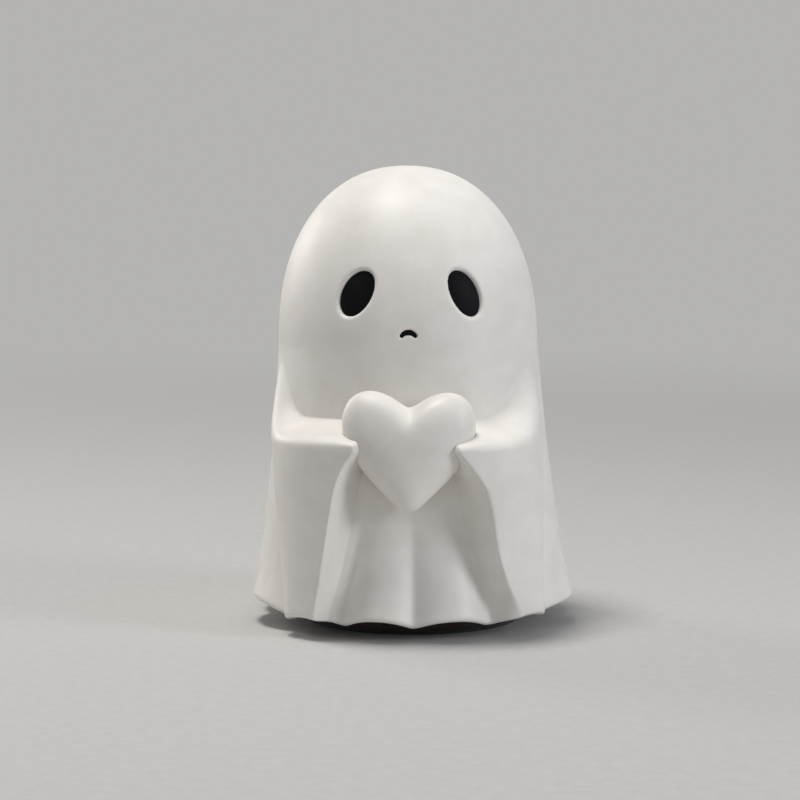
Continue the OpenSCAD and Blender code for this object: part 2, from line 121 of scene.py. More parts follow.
# Rounding of the hem's edge, and the hair's breadths that keep double columns and rows apart
RIM = 1.2
HAIR_A, HAIR_Z = 0.03, 0.02
# Edges that turn by more than this stay sharp
SHARP_A, MOUTH_SHARP_A = 38.0, 60.0


# Helpers. Everywhere, a is an angle, z a height, r a radius, s a side, -1 or 1, and k a column.

def mix(a, b, t):
    return a + (b - a) * t


def clamp(t):
    return np.clip(t, 0.0, 1.0)


def smooth(t):
    c = clamp(t)
    return c * c * (3 - 2 * c)


def rounded(t, e):
    """t with its start rounded by e, still from 0 to 1."""
    return (np.sqrt(t * t + e * e) - e) / (math.sqrt(1 + e * e) - e)


def side(a):
    return np.where(a < 0, -1.0, 1.0)


def by_side(s, left, right):
    return np.where(s < 0, left, right)


def sind(a):
    return np.sin(np.radians(a))


def cosd(a):
    return np.cos(np.radians(a))


# Sheet

def dome_r(z, off=0.0):
    """Radius of the head at a height, on a skin that lies off under the outer one."""
    t = clamp((z - DOME_Z) / (CROWN_Z - off - DOME_Z))
    return (HEAD_R - off) * np.maximum(0, 1 - t ** DOME_POWER) ** (1 / DOME_POWER)


def bell_r(z, off=0.0):
    """Radius of head and skirt at the sides and the back, without folds."""
    t = clamp((DOME_Z - z) / (DOME_Z - HEM_Z))
    flare = SLANT * rounded(t, SLANT_ROUND) + (1 - SLANT) * t ** FLARE_POWER
    return np.where(z >= DOME_Z, dome_r(z, off), HEAD_R - off + (HEM_R - HEAD_R) * flare)


def front_r(z, off=0.0):
    """Radius of head and skirt at the front, which hangs straight and flares late."""
    t = clamp((FRONT_FLARE_Z - z) / (FRONT_FLARE_Z - HEM_Z))
    return np.where(z >= DOME_Z, dome_r(z, off), HEAD_R - off + (HEM_R - HEAD_R) * t ** FRONT_POWER)


def front_share(a):
    """Share of the front's own profile, from 1 straight ahead to 0 at FRONT_A."""
    return np.where(np.abs(a) < FRONT_A, cosd(np.minimum(np.abs(a), FRONT_A) * 90 / FRONT_A) ** 2, 0.0)


def drape(z):
    """Share of the way up from the hem to the hands."""
    return clamp((z - HEM_Z) / (ARM_Z - HEM_Z))


def through(values, t):
    """Smooth curve through values at DRAPE_STEPS."""
    x, y = np.array(DRAPE_STEPS), np.array(values)
    slope = np.gradient(y, x)
    i = np.clip(np.searchsorted(x, t, side="right") - 1, 0, len(x) - 2)
    h = x[i + 1] - x[i]
    u = (t - x[i]) / h
    from_start = y[i] * (1 + 2 * u) * (1 - u) ** 2 + slope[i] * h * u * (1 - u) ** 2
    from_end = y[i + 1] * u * u * (3 - 2 * u) - slope[i + 1] * h * u * u * (1 - u)
    return from_start + from_end


def foot_a(s, z):
    """Angle where a sleeve's inner edge starts."""
    return by_side(s, through(LEFT_EDGE_A, drape(z)), through(RIGHT_EDGE_A, drape(z)))


def edge_w(s, z):
    """Angle that the rounding of a sleeve's inner edge takes up."""
    return by_side(s, through(LEFT_EDGE_W, drape(z)), through(RIGHT_EDGE_W, drape(z)))


def seam_a(s, z):
    """Angle of a sleeve's outer edge, its seam."""
    hem_a, top_a = by_side(s, LEFT_SEAM, RIGHT_SEAM), by_side(s, LEFT_SHOULDER, RIGHT_SHOULDER)
    return mix(hem_a, top_a, clamp((z - HEM_Z) / (SHOULDER_Z - HEM_Z)))


def hem_angle(a, z):
    """Angle at the hem of the fold that runs through a point: folds follow the sleeves' edges."""
    s, b = side(a), np.abs(a)
    foot, seam = foot_a(s, z), seam_a(s, z)
    hem_foot, hem_seam = foot_a(s, HEM_Z), seam_a(s, HEM_Z)
    front = b / foot * hem_foot
    on_sleeve = mix(hem_foot, hem_seam, (b - foot) / (seam - foot))
    behind = mix(hem_seam, 180.0, (b - seam) / (180.0 - seam))
    return s * np.where(b < foot, front, np.where(b < seam, on_sleeve, behind))


def ridge(a):
    """Height of the folds at an angle of the hem, from 0 in a valley to 1 on a ridge."""
    around = np.where(a < FOLD_VALLEYS[0], a + 360, a)
    i = np.clip(np.searchsorted(FOLD_VALLEYS, around, side="right") - 1, 0, len(FOLD_VALLEYS) - 2)
    across = (around - FOLD_VALLEYS[i]) / (FOLD_VALLEYS[i + 1] - FOLD_VALLEYS[i])
    from_valley = 1 - np.abs(2 * across - 1)
    return 1 - (1 - rounded(from_valley, VALLEY_ROUND)) ** RIDGE_POWER


def fold_fade(a, z):
    """Share of the folds' depth at a height, full at the hem."""
    top = mix(FOLD_TOP_Z, FRONT_FLARE_Z, front_share(a))
    return clamp((top - z) / (top - HEM_Z)) ** FOLD_POWER


def sheet_r(a, z):
    """Radius of the sheet with its folds and without the sleeves."""
    plain = mix(bell_r(z), front_r(z), front_share(a))
    return plain + FOLD_DEPTH * (ridge(hem_angle(a, z)) - RIDGE_MEAN) * fold_fade(a, z)


def hem_at(a):
    """Height of the hem: up under each fold, and a little lower all along the front, most to the left."""
    drop = FRONT_DROP * (1 - smooth((np.abs(a - DROP_MID_A) - DROP_FULL_A) / DROP_FADE_A))
    return HEM_Z - drop + HEM_LIFT * ridge(a)


def sway(z):
    """Sideways shift of the sheet where the head leans."""
    return HEAD_SWAY * sind(90 * clamp((z - LEDGE_Z) / (CROWN_Z - LEDGE_Z)))


def point(a, r, z):
    return np.stack([r * sind(a) + sway(z), -r * cosd(a), z + 0 * a], axis=-1)


# Arms, as they stand out from the sheet

def arm_share(a):
    """Place along an arm, from 0 at the hand to 1 at the shoulder."""
    s = side(a)
    hand, shoulder = foot_a(s, ARM_Z), seam_a(s, SHOULDER_Z)
    return clamp((np.abs(a) - hand) / (shoulder - hand))


def arm_top(a):
    """Height of an arm's top line, which bends up to the shoulder and drops a little at both ends."""
    s, b = side(a), np.abs(a)
    bend = by_side(s, LEFT_BEND, RIGHT_BEND)
    hand = HAND_DROP * (1 - clamp((b - foot_a(s, ARM_Z)) / HAND_END_A)) ** 2
    shoulder = SHOULDER_DROP * (1 - clamp((seam_a(s, SHOULDER_Z) - b) / SHOULDER_A)) ** 2
    return mix(HAND_TOP_Z, SHOULDER_Z, smooth((arm_share(a) - bend) / (1 - bend))) - hand - shoulder


def edge_rise(t):
    """A quarter round from 0 to 1."""
    c = clamp(t)
    return np.sqrt(np.maximum(0, 1 - (1 - c) ** 2))


def inner_rise(t, z):
    """Rise of a sleeve's inner edge: a concave start and a tight corner, a plain round at the hand."""
    c = clamp(t)
    below = 1 - rounded(1 - c ** EDGE_START, EDGE_ROUND)
    return mix(below, edge_rise(c), smooth((drape(z) - HAND_FROM) / (1 - HAND_FROM)))


def sleeve_out(a, z):
    """How far a sleeve stands out: the arm that reaches forward, and the rounded lip along its seam."""
    s, b = side(a), np.abs(a)
    foot, seam, width = foot_a(s, np.minimum(z, ARM_Z)), seam_a(s, z), edge_w(s, z)
    top, hang = arm_top(a), smooth(drape(z))
    rise = inner_rise((b - foot) / width, z)
    reach = 1 - clamp((b - foot - width) / (seam - foot - width)) ** REACH_POWER
    full = mix(SLEEVE_HEM_R, HAND_R, drape(z)) - sheet_r(a, np.minimum(z, ARM_Z))
    start = by_side(s, LEFT_ROUND_Z, RIGHT_ROUND_Z) - ROUND_FALL * arm_share(a)
    over = 1 - smooth((z - start) / (top - start)) ** ROUND_POWER
    lip = mix(HEM_LIP, ARM_LIP, hang) * edge_rise((seam - b) / mix(HEM_LIP_A, ARM_LIP_A, hang))
    lip = lip * (1 - reach) * smooth((top - z) / LIP_END)
    return np.maximum(0, (full * reach * over + lip) * rise)


# Places of the sheet's columns and rows

def low_angle(s, k, z):
    """Angle of a column at a height of the skirt: the columns follow the sleeves' edges."""
    foot, seam, width = foot_a(s, z), seam_a(s, z), edge_w(s, z)
    front = foot * k / FRONT_COLS
    edge = foot + width * (1 - cosd(90.0 * (k - FRONT_COLS) / EDGE_COLS))
    on_sleeve = mix(foot + width, seam, (k - SLEEVE_COL) / SLEEVE_COLS)
    behind = mix(seam, 180.0, (k - SEAM_COL) / BACK_COLS)
    places = [k <= FRONT_COLS, k <= SLEEVE_COL, k <= SEAM_COL]
    return s * np.select(places, [front, edge, on_sleeve], behind)


def low_place(s, k, v):
    """Angle and height of a column's point between the hem, v = 0, and the sleeves' top, v = 1."""
    z = mix(HEM_Z, ARM_Z, np.full_like(k, v, dtype=float))
    split = LOW_ROWS / ROWS
    for _ in range(PLACE_ROUNDS):
        a = low_angle(s, k, z)
        if v <= split:
            z = mix(hem_at(a) + RIM, SHELF_Z, v / split)
        else:
            z = mix(SHELF_Z, arm_top(a), (v - split) / (1 - split))
    return low_angle(s, k, z), z


# Columns of the head, close together round the mouth and the eyes
MOUTH_COLS, MOUTH_COL_A = 15, 0.35
EYE_COLS, EYE_COL_A = 67, 0.55
EYE_COLS_A = MOUTH_COLS * MOUTH_COL_A
PLAIN_COLS_A = EYE_COLS_A + EYE_COLS * EYE_COL_A
HEAD_A = np.concatenate([
    np.arange(MOUTH_COLS) * MOUTH_COL_A,
    EYE_COLS_A + np.arange(EYE_COLS) * EYE_COL_A,
    np.linspace(PLAIN_COLS_A, 180, COLS + 1 - MOUTH_COLS - EYE_COLS),
])


# Meshes

def settle(obj, node):
    """Puts a piece in the place of a solid."""
    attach(obj, "root")
    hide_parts(node)


def finish_shading(mesh, sharp):
    mesh.polygons.foreach_set("use_smooth", np.ones(len(mesh.polygons), dtype=bool))
    mesh.set_sharp_from_angle(angle=math.radians(sharp))


def piece(name, points, quads, tris, node, material, sharp=SHARP_A):
    """A closed mesh from points in millimetres, shaded smooth with its real edges kept."""
    mesh = bpy.data.meshes.new(name)
    loops = np.concatenate([quads.reshape(-1), tris.reshape(-1)]).astype(np.int32)
    quad_starts = np.arange(len(quads)) * 4
    tri_starts = len(quads) * 4 + np.arange(len(tris)) * 3
    starts = np.concatenate([quad_starts, tri_starts]).astype(np.int32)
    mesh.vertices.add(len(points))
    mesh.vertices.foreach_set("co", (points * MM).astype(np.float32).reshape(-1))
    mesh.loops.add(len(loops))
    mesh.loops.foreach_set("vertex_index", loops)
    mesh.polygons.add(len(starts))
    mesh.polygons.foreach_set("loop_start", starts)
    mesh.update(calc_edges=True)
    mesh.validate()
    obj = bpy.data.objects.new(name, mesh)
    bpy.context.scene.collection.objects.link(obj)
    finish_shading(mesh, sharp)
    mesh.materials.append(material)
    if node:
        settle(obj, node)
    return obj


def band_quads(m, n):
    """Faces between m rings of n points each."""
    i, k = np.meshgrid(np.arange(m - 1), np.arange(n), indexing="ij")
    a, b = i * n + k, i * n + (k + 1) % n
    return np.stack([a, b, b + n, a + n], axis=-1).reshape(-1, 4)


def fan(n, tip, start, up):
    """Triangles from a tip to the n points of a ring that starts at start."""
    k = np.arange(n)
    p, q = start + k, start + (k + 1) % n
    return np.stack([np.full(n, tip), p, q] if up else [np.full(n, tip), q, p], axis=-1)


def tipped(name, rings, first, last, node, material, sharp=SHARP_A):
    """Closed skin from a first tip, through rings that turn anticlockwise as they rise, to a last tip."""
    m, n = len(rings), len(rings[0])
    points = np.concatenate(list(rings) + [np.array([first, last], float)])
    tris = np.concatenate([fan(n, n * m, 0, False), fan(n, n * m + 1, n * (m - 1), True)])
    return piece(name, points, band_quads(m, n), tris, node, material, sharp)


# Face: arc lengths on the head from a place's centre, sideways and up

FACE_LOW_Z, FACE_TOP_GAP, FACE_SAMPLES = 60, 0.5, 600
LEAN_STEP = 0.5
HEIGHTS = np.linspace(FACE_LOW_Z, CROWN_Z - FACE_TOP_GAP, FACE_SAMPLES)
STEPS = np.hypot(np.diff(bell_r(HEIGHTS)), np.diff(HEIGHTS))
LENGTHS = np.concatenate([[0], np.cumsum(STEPS)])


def lean_at(z):
    """How far the head's skin leans back from upright."""
    return np.degrees(np.arctan((bell_r(z - LEAN_STEP) - bell_r(z + LEAN_STEP)) / (2 * LEAN_STEP)))


def lifted(a, r, z, h):
    """Point at height h above the skin."""
    lean = lean_at(z)
    return point(a, r + h * cosd(lean), z + h * sind(lean))


def centre_a(x, z):
    """Angle of a place that lies x to one side."""
    return math.degrees(math.asin(x / bell_r(np.array(z))))


def to_face(a, z, x0, z0):
    """Arc lengths from the place at x0 and z0 to a point."""
    u = np.radians(a - centre_a(x0, z0)) * bell_r(z)
    v = np.interp(z, HEIGHTS, LENGTHS) - np.interp(z0, HEIGHTS, LENGTHS)
    return u, v


def from_face(u, v, h, x0, z0):
    """Point at arc lengths u and v from the place at x0 and z0, and at height h above the skin."""
    z = np.interp(v + np.interp(z0, HEIGHTS, LENGTHS), LENGTHS, HEIGHTS)
    a = centre_a(x0, z0) + np.degrees(u / bell_r(z))
    return lifted(a, bell_r(z), z, h)


def eye_form(s):
    """An eye's place across the face, its lean and its half width."""
    lean, width = (-LEFT_LEAN, LEFT_EYE_W) if s < 0 else (RIGHT_LEAN, RIGHT_EYE_W)
    return EYES_X + s * EYE_GAP / 2, lean, width / 2


def eye_distance(a, z, s):
    """Distance outside an eye's outline, along the skin."""
    x0, lean, half_w = eye_form(s)
    half_l = EYE_L / 2
    u, v = to_face(a, z, x0, EYE_Z)
    x, y = u * cosd(lean) + v * sind(lean), -u * sind(lean) + v * cosd(lean)
    tiny = 1e-6
    far = np.sqrt((x / half_w) ** 2 + (y / half_l) ** 2) + tiny
    slope = np.sqrt((x / half_w ** 2) ** 2 + (y / half_l ** 2) ** 2) + tiny
    return far * (far - 1) / slope


# Radius of the arc that the mouth's line follows over MOUTH_BOW degrees, and the height of its top
MOUTH_ARC = (MOUTH_W - MOUTH_END_T) / 2 / math.sin(math.radians(MOUTH_BOW / 2))
MOUTH_TOP_Z = MOUTH_Z + MOUTH_T / 2


def mouth_half(t):
    """Half thickness of the frown's line, which thins towards its ends."""
    return mix(MOUTH_T, MOUTH_END_T, (2 * t / MOUTH_BOW) ** 2) / 2


def mouth_distance(a, z):
    """Distance outside the mouth's outline, along the skin."""
    u, v = to_face(a, z, 0.0, MOUTH_TOP_Z)
    t = np.clip(np.degrees(np.arctan2(u, v + MOUTH_ARC)), -MOUTH_BOW / 2, MOUTH_BOW / 2)
    return np.hypot(u - MOUTH_ARC * sind(t), v + MOUTH_ARC - MOUTH_ARC * cosd(t)) - mouth_half(t)


# Sockets: rounded shoulder, depth, steepness of the wall, and how far the inlays lie under the skin
EYE_SHOULDER, MOUTH_SHOULDER = 1.05, 0.45
EYE_DEEP, MOUTH_DEEP = 2.0, 1.2
WALL_STEEP = 5.0
EYE_SINK, MOUTH_SINK = 0.8, 0.38
# The mouth's socket is only looked for this near the mouth, in degrees and in millimetres
MOUTH_NEAR_A, MOUTH_NEAR_Z = 12, 6


def socket(d, shoulder, depth):
    """Depth of the skin at a distance from a socket's outline: a rounded shoulder, then a steep wall."""
    c = clamp((shoulder - d) / shoulder)
    rounding = shoulder * (1 - np.sqrt(np.maximum(0, 1 - c * c)))
    return np.minimum(depth, rounding + WALL_STEEP * np.maximum(0, -d))


def dent(a, z):
    """Depth of the skin under the head's plain form."""
    deep = np.zeros_like(a)
    for s in (-1, 1):
        deep = np.maximum(deep, socket(eye_distance(a, z, s), EYE_SHOULDER, EYE_DEEP))
    near = (np.abs(a) < MOUTH_NEAR_A) & (z > MOUTH_Z - MOUTH_NEAR_Z) & (z < MOUTH_Z + MOUTH_NEAR_Z)
    return np.where(near, np.maximum(deep, socket(mouth_distance(a, z), MOUTH_SHOULDER, MOUTH_DEEP)), deep)


# Body

def ring_columns():
    """Side, number and seat of every column, once round. A seat's edge columns come twice."""
    front = [(k, 0) for k in range(FRONT_COLS + 1)]
    seated = [(k, 1) for k in range(FRONT_COLS, SEAM_COL + 1)]
    back = [(k, 0) for k in range(SEAM_COL, COLS + 1)]
    one = front + seated + back
    both = [(1.0, k, q) for k, q in one] + [(-1.0, k, q) for k, q in one[-2:0:-1]]
    return (np.array([b[i] for b in both], float) for i in range(3))


def cavity_rings(s, k, hair):
    """From the cavity's top down to the ledge, out across it and down the bore."""
    rings = []
    for i in range(1, CAVITY_STEPS + 1):
        z = mix(INNER_TOP_Z, LEDGE_Z, 1 - cosd(90 * i / CAVITY_STEPS))
        a = low_angle(s, k, z) + hair
        r = mix(bell_r(z, INSIDE), front_r(z, INSIDE), front_share(a))
        rings.append(point(a, np.minimum(BORE_R - LEDGE, r), z))
    for z in (LEDGE_Z, BORE_Z):
        rings.append(point(low_angle(s, k, z) + hair, BORE_R, z))
    return rings


def rim_rings(s, k, seat, hair):
    """Out under the wall at the hem, and round the hem's outer edge."""
    a, z = low_place(s, k, 0.0)
    a = a + hair
    r = sheet_r(a, z)
    rings = []
    for inset, down in ((WALL, 0.0), (WALL - RIM, RIM)):
        rings.append(point(a, r - SEAT_DEPTH - inset, z - down))
    for j in range(RIM_STEPS):
        t = 90.0 * j / RIM_STEPS
        rings.append(point(a, r - seat * SEAT_DEPTH - RIM * (1 - sind(t)), z - RIM * cosd(t)))
    return rings


def skirt_rings(s, k, seat, hair):
    """Up the outside to the sleeves' top, with the seats let in."""
    rings = []
    for j in range(ROWS + 1):
        a, z = low_place(s, k, j / ROWS)
        a = a + hair
        rings.append(point(a, sheet_r(a, z) - seat * SEAT_DEPTH, z))
    return rings


def head_rings(s, k, hair):
    """Up from the sleeves' top, while the columns change to the head's, and over the face to the crown."""
    a_low, base = low_place(s, k, 1.0)
    head = s * HEAD_A[k.astype(int)]
    places = []
    for j in range(NECK_STEPS + 1):
        t = j / NECK_STEPS
        places.append((mix(a_low, head, smooth(t)) + hair, mix(base + HAIR_Z, MOUTH_ROWS_Z, t)))
    heights = np.concatenate([
        np.arange(MOUTH_ROWS_Z, EYE_ROWS_Z, MOUTH_ROW)[1:],
        np.arange(EYE_ROWS_Z, DOME_ROWS_Z, EYE_ROW),
        DOME_ROWS_Z + (CROWN_Z - DOME_ROWS_Z) * sind(90.0 * np.arange(DOME_ROWS) / DOME_ROWS),
    ])
    places += [(head + hair, z + 0 * head) for z in heights]
    return [lifted(a, sheet_r(a, z), z, -dent(a, z)) for a, z in places]


def body_rings():
    """Rings of the whole shell, from the cavity's top, down inside and up outside, to the crown."""
    s, k, seat = ring_columns()
    at_front = (seat == 0) & (k == FRONT_COLS)
    at_seam = (seat == 0) & (k == SEAM_COL)
    hair = s * HAIR_A * (at_seam.astype(float) - at_front)
    rings = cavity_rings(s, k, hair) + rim_rings(s, k, seat, hair)
    rings += skirt_rings(s, k, seat, hair) + head_rings(s, k, hair)
    return rings, (sway(INNER_TOP_Z), 0, INNER_TOP_Z), (sway(CROWN_Z), 0, CROWN_Z)


# Sleeves

def sleeve_rings(s):
    """Rings up a sleeve: each runs out over its skin and back along its seat."""
    k = np.arange(FRONT_COLS, SEAM_COL + 1).astype(float)
    rings = []

    def loop(a, z, inset, up):
        seat = sheet_r(a, z) - SEAT_DEPTH + SLIP
        skin = sheet_r(a, z) + sleeve_out(a, z)
        # Where the sleeve is thin, the hem's rounding stops half way in
        outer = point(a, np.maximum(skin - inset, (seat + skin) / 2), z + up)
        inner = point(a, seat, z + up)
        ring = np.concatenate([outer, inner[::-1]])
        return ring if s > 0 else ring[::-1]

    a, z = low_place(s, k, 0.0)
    for j in range(RIM_STEPS):
        t = 90.0 * j / RIM_STEPS
        rings.append(loop(a, z, RIM * (1 - sind(t)), -RIM * cosd(t)))
    for j in range(ROWS + 1):
        a, z = low_place(s, k, j / ROWS)
        rings.append(loop(a, z, 0.0, 0.0))
    return rings


def cut_by(obj, cutter, material):
    """Cuts a cutter's form out of a piece, and leaves a plain mesh."""
    cut = obj.modifiers.new("pocket", "BOOLEAN")
    cut.operation, cut.solver, cut.object = "DIFFERENCE", "EXACT", cutter
    evaluated = obj.evaluated_get(bpy.context.evaluated_depsgraph_get())
    mesh = bpy.data.meshes.new_from_object(evaluated)
    obj.modifiers.clear()
    obj.data = mesh
    mesh.materials.clear()
    mesh.materials.append(material)
    finish_shading(mesh, SHARP_A)


def sleeve(name, s, node, material, cutter):
    """A sleeve closed at the hem and at its top, with the heart's pocket cut out of it."""
    rings = sleeve_rings(s)
    m, n = len(rings), len(rings[0])
    i = np.arange(n // 2 - 1)
    low = np.stack([i, n - 1 - i, n - 2 - i, i + 1], axis=-1)
    top = (m - 1) * n + np.stack([i, i + 1, n - 2 - i, n - 1 - i], axis=-1)
    quads = np.concatenate([band_quads(m, n), low, top])
    no_tris = np.zeros((0, 3), int)
    obj = piece(name, np.concatenate(rings), quads, no_tris, None, material)
    cut_by(obj, cutter, material)
    settle(obj, node)


# Heart

# Shares of sines in the outline's width, and of cosines in its height
HEART_X_SHARES = (0.95, -0.02, -0.09, 0.02, -0.05)
HEART_Z_SHARES = (0.65, 0.44, -0.18, 0.01, -0.03, -0.02)
# Height of the middle as a share, form of the section, and the tilt to one side
HEART_MID, HEART_POWER, HEART_TILT = 0.56, 2.5, 1.5
# Rings near the middle are ellipses of this share of its size. From this far out they have its outline.
HEART_SOFT, HEART_CRISP = 0.4, 0.8
# Fuller sides, fully so within this angle of the tip, and a rounder tip, a little lower and further right
HEART_FULL, HEART_FULL_A = 1.25, 42.0
TIP_A, TIP_DROP, TIP_SHIFT = 8.0, 0.45, 0.35
HEART_Y = -(HEAD_R + SLIP + HEART_BACK)
HEART_MID_Z = HEART_TIP_Z + HEART_H * HEART_MID
HEART_COLS, HEART_FRONT_ROWS, HEART_BACK_ROWS = 180, 40, 20


def heart_outline(t, grow):
    """Outline of the heart round its middle, at angles t from the notch, and grown by a clearance."""
    u = np.where(t > 180, t - 360, t)
    x = side(u) * HEART_W / 2 * sum(c * sind((i + 1) * np.abs(u)) for i, c in enumerate(HEART_X_SHARES))
    z = HEART_H * (sum(c * cosd(i * t) for i, c in enumerate(HEART_Z_SHARES)) - HEART_MID)
    from_tip = 180 - np.abs(u)
    low = smooth(2 - from_tip / HEART_FULL_A)
    x = x + low * (side(u) * HEART_FULL * np.tanh(from_tip / TIP_A) + TIP_SHIFT)
    z = z - TIP_DROP * np.exp(-(from_tip / (2 * TIP_A)) ** 2)
    far = np.hypot(x, z)
    x, z = x * (1 + grow / far), z * (1 + grow / far)
    return x * cosd(HEART_TILT) + z * sind(HEART_TILT), z * cosd(HEART_TILT) - x * sind(HEART_TILT)


def heart_rings(grow):
    """Rings from the front of the heart to its back."""
    t = np.arange(HEART_COLS) * 360.0 / HEART_COLS
    x, z = heart_outline(t, grow)
    soft_x, soft_z = HEART_SOFT * HEART_W * sind(t), HEART_SOFT * HEART_H * cosd(t)
    front, back = -(HEART_SWELL + grow), HEART_BACK + grow

    def ring(f, depth):
        rho = sind(f) ** (2 / HEART_POWER)
        crisp = smooth(rho / HEART_CRISP)
        across, up = rho * mix(soft_x, x, crisp), rho * mix(soft_z, z, crisp)
        return np.stack([HEART_X + across, HEART_Y + depth * cosd(f) + 0 * x, HEART_MID_Z + up], axis=-1)

    rings = [ring(90.0 * i / HEART_FRONT_ROWS, front) for i in range(1, HEART_FRONT_ROWS + 1)]
    rings += [ring(90.0 * i / HEART_BACK_ROWS, back) for i in range(HEART_BACK_ROWS - 1, 0, -1)]
    return rings, (HEART_X, HEART_Y + front, HEART_MID_Z), (HEART_X, HEART_Y + back, HEART_MID_Z)


# Inlays

# Play round the inlays where they show, and at an eye's back
PLAY, BACK_PLAY = 0.02, 0.05
# Eyes: points round, bevel, crown, and the rings' shares of the outline at the back and on the front
EYE_POINTS, EYE_BEVEL, EYE_BEVEL_STEPS, EYE_CROWN = 96, 0.25, 6, 0.3
EYE_BACK_SHARES = (0.35, 0.7, 1.0)
EYE_FRONT_SHARES = (0.92, 0.8, 0.65, 0.5, 0.35, 0.2, 0.1)
# Mouth: points round its section, sections along it, and turns in degrees of those round its ends
MOUTH_POINTS, MOUTH_SECTIONS = 24, 37
MOUTH_END_TURNS = (84, 72, 58, 40, 20)
# Steepness of the section's sides, and its crown
MOUTH_SIDES, MOUTH_CROWN = 1.6, 0.08


def eye_rings(s):
    """Rings of an eye from the back, round its bevelled edge and in over its crowned front."""
    x0, lean, half = eye_form(s)
    t = np.arange(EYE_POINTS) * 360.0 / EYE_POINTS

    def ring(rho, inset, h):
        x = (half - inset) * rho * cosd(t)
        y = (EYE_L / 2 - inset) * rho * sind(t)
        u = x * cosd(lean) - y * sind(lean)
        v = x * sind(lean) + y * cosd(lean)
        return from_face(u, v, h + 0 * u, x0, EYE_Z)

    def tip(h):
        zero = np.zeros(1)
        return from_face(zero, zero, zero + h, x0, EYE_Z)[0]

    deep = SLIP - EYE_DEEP
    rings = [ring(rho, BACK_PLAY, deep) for rho in EYE_BACK_SHARES]
    for j in range(EYE_BEVEL_STEPS + 1):
        f = 90.0 * j / EYE_BEVEL_STEPS
        rings.append(ring(1.0, PLAY + EYE_BEVEL * (1 - cosd(f)), -EYE_SINK - EYE_BEVEL * (1 - sind(f))))
    for rho in EYE_FRONT_SHARES:
        rings.append(ring(rho, PLAY + EYE_BEVEL, -EYE_SINK + EYE_CROWN * (1 - rho ** 2)))
    return rings, tip(deep), tip(-EYE_SINK + EYE_CROWN)


def mouth_loops():
    """Loops of the frown's section along its arc, which shrink round its two ends."""
    f = np.arange(MOUTH_POINTS) * 360.0 / MOUTH_POINTS
    end = MOUTH_BOW / 2
    places = [(-end, -sind(turn), cosd(turn)) for turn in MOUTH_END_TURNS]
    places += [(t, 0.0, 1.0) for t in np.linspace(-end, end, MOUTH_SECTIONS)]
    places += [(end, sind(turn), cosd(turn)) for turn in MOUTH_END_TURNS[::-1]]
    loops = []
    for t, past, share in places:
        half = mouth_half(t) - PLAY
        across = MOUTH_ARC + half * share * cosd(f)
        crown = MOUTH_CROWN * np.maximum(0, sind(f)) * share
        h = mix(SLIP - MOUTH_DEEP, -MOUTH_SINK, smooth(sind(f) * MOUTH_SIDES + 0.5)) + crown
        u = across * sind(t) + past * half * cosd(t)
        v = across * cosd(t) - past * half * sind(t) - MOUTH_ARC
        loops.append(from_face(u, v, h, 0.0, MOUTH_TOP_Z))
    return loops


# Materials. Bump distances are in metres.

# Range that a noise mostly covers
NOISE_LOW, NOISE_HIGH = 0.3, 0.7


def nodes_of(name):
    material = bpy.data.materials.new(name)
    material.use_nodes = True
    tree = material.node_tree
    return material, tree, tree.nodes["Principled BSDF"]


def link(tree, a, b):
    tree.links.new(a, b)


def set_inputs(node, values):
    for key, value in values.items():
        node.inputs[key].default_value = value


def noise(tree, coords, scale, detail, rough, distortion=0.0):
    n = tree.nodes.new("ShaderNodeTexNoise")
    set_inputs(n, {"Scale": scale, "Detail": detail, "Roughness": rough, "Distortion": distortion})
    link(tree, coords, n.inputs["Vector"])
    return n.outputs["Fac"]


def ramp(tree, value, stops):
    """Colours by value. stops is a list of (value, colour)."""
    r = tree.nodes.new("ShaderNodeValToRGB")
    while len(r.color_ramp.elements) < len(stops):
        r.color_ramp.elements.new(0.5)
    for element, (position, colour) in zip(r.color_ramp.elements, stops):
        element.position = position
        element.color = (*colour, 1.0)
    link(tree, value, r.inputs["Fac"])
    return r.outputs["Color"]


def ranged(tree, value, low, high):
    """A noise's value spread from low to high."""
    m = tree.nodes.new("ShaderNodeMapRange")
    set_inputs(m, {"From Min": NOISE_LOW, "From Max": NOISE_HIGH, "To Min": low, "To Max": high})
    link(tree, value, m.inputs["Value"])
    return m.outputs["Result"]


def bump(tree, heights, into, distance):
    """Adds bumps one on another. heights is a list of (height, strength)."""
    last = None
    for height, strength in heights:
        b = tree.nodes.new("ShaderNodeBump")
        set_inputs(b, {"Distance": distance, "Strength": strength})
        link(tree, height, b.inputs["Height"])
        if last:
            link(tree, last, b.inputs["Normal"])
        last = b.outputs["Normal"]
    link(tree, last, into.inputs["Normal"])


def multiplied(tree, share, a, b):
    """Colour a times colour b, by a share. The colours are a mix node's inputs 6 and 7 and its output 2."""
    m = tree.nodes.new("ShaderNodeMix")
    m.data_type = "RGBA"
    m.blend_type = "MULTIPLY"
    m.inputs[0].default_value = share
    link(tree, a, m.inputs[6])
    link(tree, b, m.inputs[7])
    return m.outputs[2]


def coordinates(tree):
    return tree.nodes.new("ShaderNodeTexCoord").outputs["Object"]


